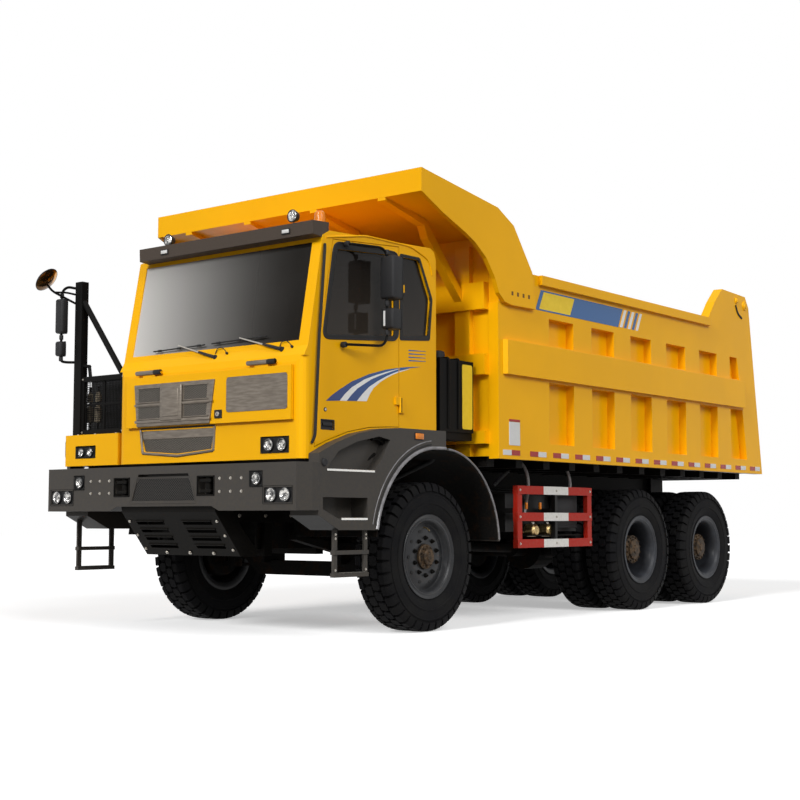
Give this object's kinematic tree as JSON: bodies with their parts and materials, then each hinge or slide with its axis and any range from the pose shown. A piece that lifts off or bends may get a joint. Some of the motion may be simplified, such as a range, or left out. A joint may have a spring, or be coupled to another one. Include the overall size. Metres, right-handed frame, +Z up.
{
  "type": "mining dump truck",
  "caption": "Wide-body mining dump truck with offset cab, cab-guard canopy, tipping body, hanging tailgate and front telescopic hoist.",
  "frame": {"origin": "ground level under the middle of the truck's overall box", "axes": "+X to the front, +Y to the truck's left, +Z up"},
  "size_m": [9.0495, 3.49, 4.201],
  "materials": {
    "yellow_paint": "gloss enamel, lightly dusted",
    "grey_paint": "satin warm dark grey enamel",
    "black_paint": "satin black enamel",
    "red_paint": "red enamel with white bands",
    "cast_iron": "dark painted castings",
    "tyre_rubber": "block tread rubber",
    "wheel_paint": "blue-grey satin enamel",
    "tinted_glass": "tinted laminated glass",
    "seat_fabric": "woven seat cover",
    "dash_plastic": "grained moulding",
    "chrome_rod": "polished hoist tubes"
  },
  "bodies": {
    "chassis": {"chassis_frame": "black_paint", "engine_block": "cast_iron", "front_bumper": "grey_paint", "sump_guard": "black_paint", "step_fender_left": "grey_paint", "step_fender_right": "grey_paint", "cab_shell": "yellow_paint", "windscreen": "tinted_glass", "quarter_glass_left": "tinted_glass", "rear_glass": "tinted_glass", "side_glass_right": "tinted_glass", "sun_visor": "black_paint", "driver_seat": "seat_fabric", "passenger_seat": "seat_fabric", "dashboard": "dash_plastic", "deck_right": "yellow_paint", "deck_rail_right": "black_paint", "mirror_right": "black_paint", "air_cleaner": "black_paint", "oil_tank_left": "black_paint", "fuel_tank_right": "black_paint", "side_guard_left": "red_paint", "front_axle": "cast_iron", "middle_axle": "cast_iron", "rear_axle": "cast_iron", "front_spring_left": "cast_iron", "front_spring_right": "cast_iron", "rear_spring_left": "cast_iron", "rear_spring_right": "cast_iron"},
    "knuckle_left": {"knuckle_left": "cast_iron"},
    "knuckle_right": {"knuckle_right": "cast_iron"},
    "tie_rod": {"tie_rod": "cast_iron"},
    "front_wheel_left": {"front_tyre_left": "tyre_rubber", "front_rim_left": "wheel_paint"},
    "front_wheel_right": {"front_tyre_right": "tyre_rubber", "front_rim_right": "wheel_paint"},
    "middle_wheels_left": {"middle_tyres_left": "tyre_rubber", "middle_hub_left": "wheel_paint"},
    "middle_wheels_right": {"middle_tyres_right": "tyre_rubber", "middle_hub_right": "wheel_paint"},
    "rear_wheels_left": {"rear_tyres_left": "tyre_rubber", "rear_hub_left": "wheel_paint"},
    "rear_wheels_right": {"rear_tyres_right": "tyre_rubber", "rear_hub_right": "wheel_paint"},
    "door_left": {"door_left": "yellow_paint", "door_glass_left": "tinted_glass", "mirror_left": "black_paint"},
    "front_flap": {"front_flap": "yellow_paint"},
    "dump_body": {"body_floor": "yellow_paint", "body_side_left": "yellow_paint", "body_side_right": "yellow_paint", "body_front": "yellow_paint"},
    "tailgate": {"tailgate": "yellow_paint"},
    "hoist_barrel": {"hoist_barrel": "black_paint"},
    "hoist_stage_1": {"hoist_stage_1": "chrome_rod"},
    "hoist_stage_2": {"hoist_stage_2": "chrome_rod"},
    "hoist_stage_3": {"hoist_stage_3": "chrome_rod"}
  },
  "joints": [
    {"name": "steer_left", "type": "hinge", "parent": "chassis", "child": "knuckle_left", "pos_m": [2.45, 1.01, 0.685], "axis": [0, 0, 1], "range_deg": [-35, 35]},
    {"name": "steer_right", "type": "hinge", "parent": "chassis", "child": "knuckle_right", "pos_m": [2.45, -1.01, 0.685], "axis": [0, 0, 1], "range_deg": [-35, 35]},
    {"name": "tie_rod_swing", "type": "hinge", "parent": "knuckle_left", "child": "tie_rod", "pos_m": [2.12, 1.01, 0.525], "axis": [0, 0, 1], "range_deg": [-35, 35]},
    {"name": "front_wheel_spin_left", "type": "hinge", "parent": "knuckle_left", "child": "front_wheel_left", "pos_m": [2.45, 1.32, 0.685], "axis": [0, 1, 0], "continuous": true},
    {"name": "front_wheel_spin_right", "type": "hinge", "parent": "knuckle_right", "child": "front_wheel_right", "pos_m": [2.45, -1.32, 0.685], "axis": [0, 1, 0], "continuous": true},
    {"name": "middle_wheels_spin_left", "type": "hinge", "parent": "chassis", "child": "middle_wheels_left", "pos_m": [-1.55, 1.1075, 0.685], "axis": [0, 1, 0], "continuous": true},
    {"name": "middle_wheels_spin_right", "type": "hinge", "parent": "chassis", "child": "middle_wheels_right", "pos_m": [-1.55, -1.1075, 0.685], "axis": [0, 1, 0], "continuous": true},
    {"name": "rear_wheels_spin_left", "type": "hinge", "parent": "chassis", "child": "rear_wheels_left", "pos_m": [-3.22, 1.1075, 0.685], "axis": [0, 1, 0], "continuous": true},
    {"name": "rear_wheels_spin_right", "type": "hinge", "parent": "chassis", "child": "rear_wheels_right", "pos_m": [-3.22, -1.1075, 0.685], "axis": [0, 1, 0], "continuous": true},
    {"name": "door_left_hinge", "type": "hinge", "parent": "chassis", "child": "door_left", "pos_m": [2.92, 1.514, 2.6], "axis": [0, 0, 1], "range_deg": [0, 70]},
    {"name": "front_flap_hinge", "type": "hinge", "parent": "chassis", "child": "front_flap", "pos_m": [4.23, 0.3775, 2.352], "axis": [0, -1, 0], "range_deg": [0, 85]},
    {"name": "bed_tilt", "type": "hinge", "parent": "chassis", "child": "dump_body", "pos_m": [-3.7, 0, 1.24], "axis": [0, -1, 0], "range_deg": [0, 45]},
    {"name": "tailgate_hinge", "type": "hinge", "parent": "dump_body", "child": "tailgate", "pos_m": [-4.02, 0, 3.76], "axis": [0, 1, 0], "range_deg": [0, 60]},
    {"name": "hoist_tilt", "type": "hinge", "parent": "chassis", "child": "hoist_barrel", "pos_m": [2.11, 0, 1], "axis": [0, -1, 0], "range_deg": [0, 28]},
    {"name": "hoist_slide_1", "type": "slide", "parent": "hoist_barrel", "child": "hoist_stage_1", "axis": [0, 0, 1], "range_m": [0, 1.45]},
    {"name": "hoist_slide_2", "type": "slide", "parent": "hoist_stage_1", "child": "hoist_stage_2", "axis": [0, 0, 1], "range_m": [0, 1.45]},
    {"name": "hoist_slide_3", "type": "slide", "parent": "hoist_stage_2", "child": "hoist_stage_3", "axis": [0, 0, 1], "range_m": [0, 1.45]}
  ],
  "couplings": [
    {"joint": "steer_right", "follows": "steer_left", "ratio": 1},
    {"joint": "tie_rod_swing", "follows": "steer_left", "ratio": -1},
    {"joint": "hoist_tilt", "follows": "bed_tilt", "ratio": 0.61432},
    {"joint": "hoist_slide_1", "follows": "bed_tilt", "m_per_rad": 1.835},
    {"joint": "hoist_slide_2", "follows": "bed_tilt", "m_per_rad": 1.835},
    {"joint": "hoist_slide_3", "follows": "bed_tilt", "m_per_rad": 1.835}
  ]
}
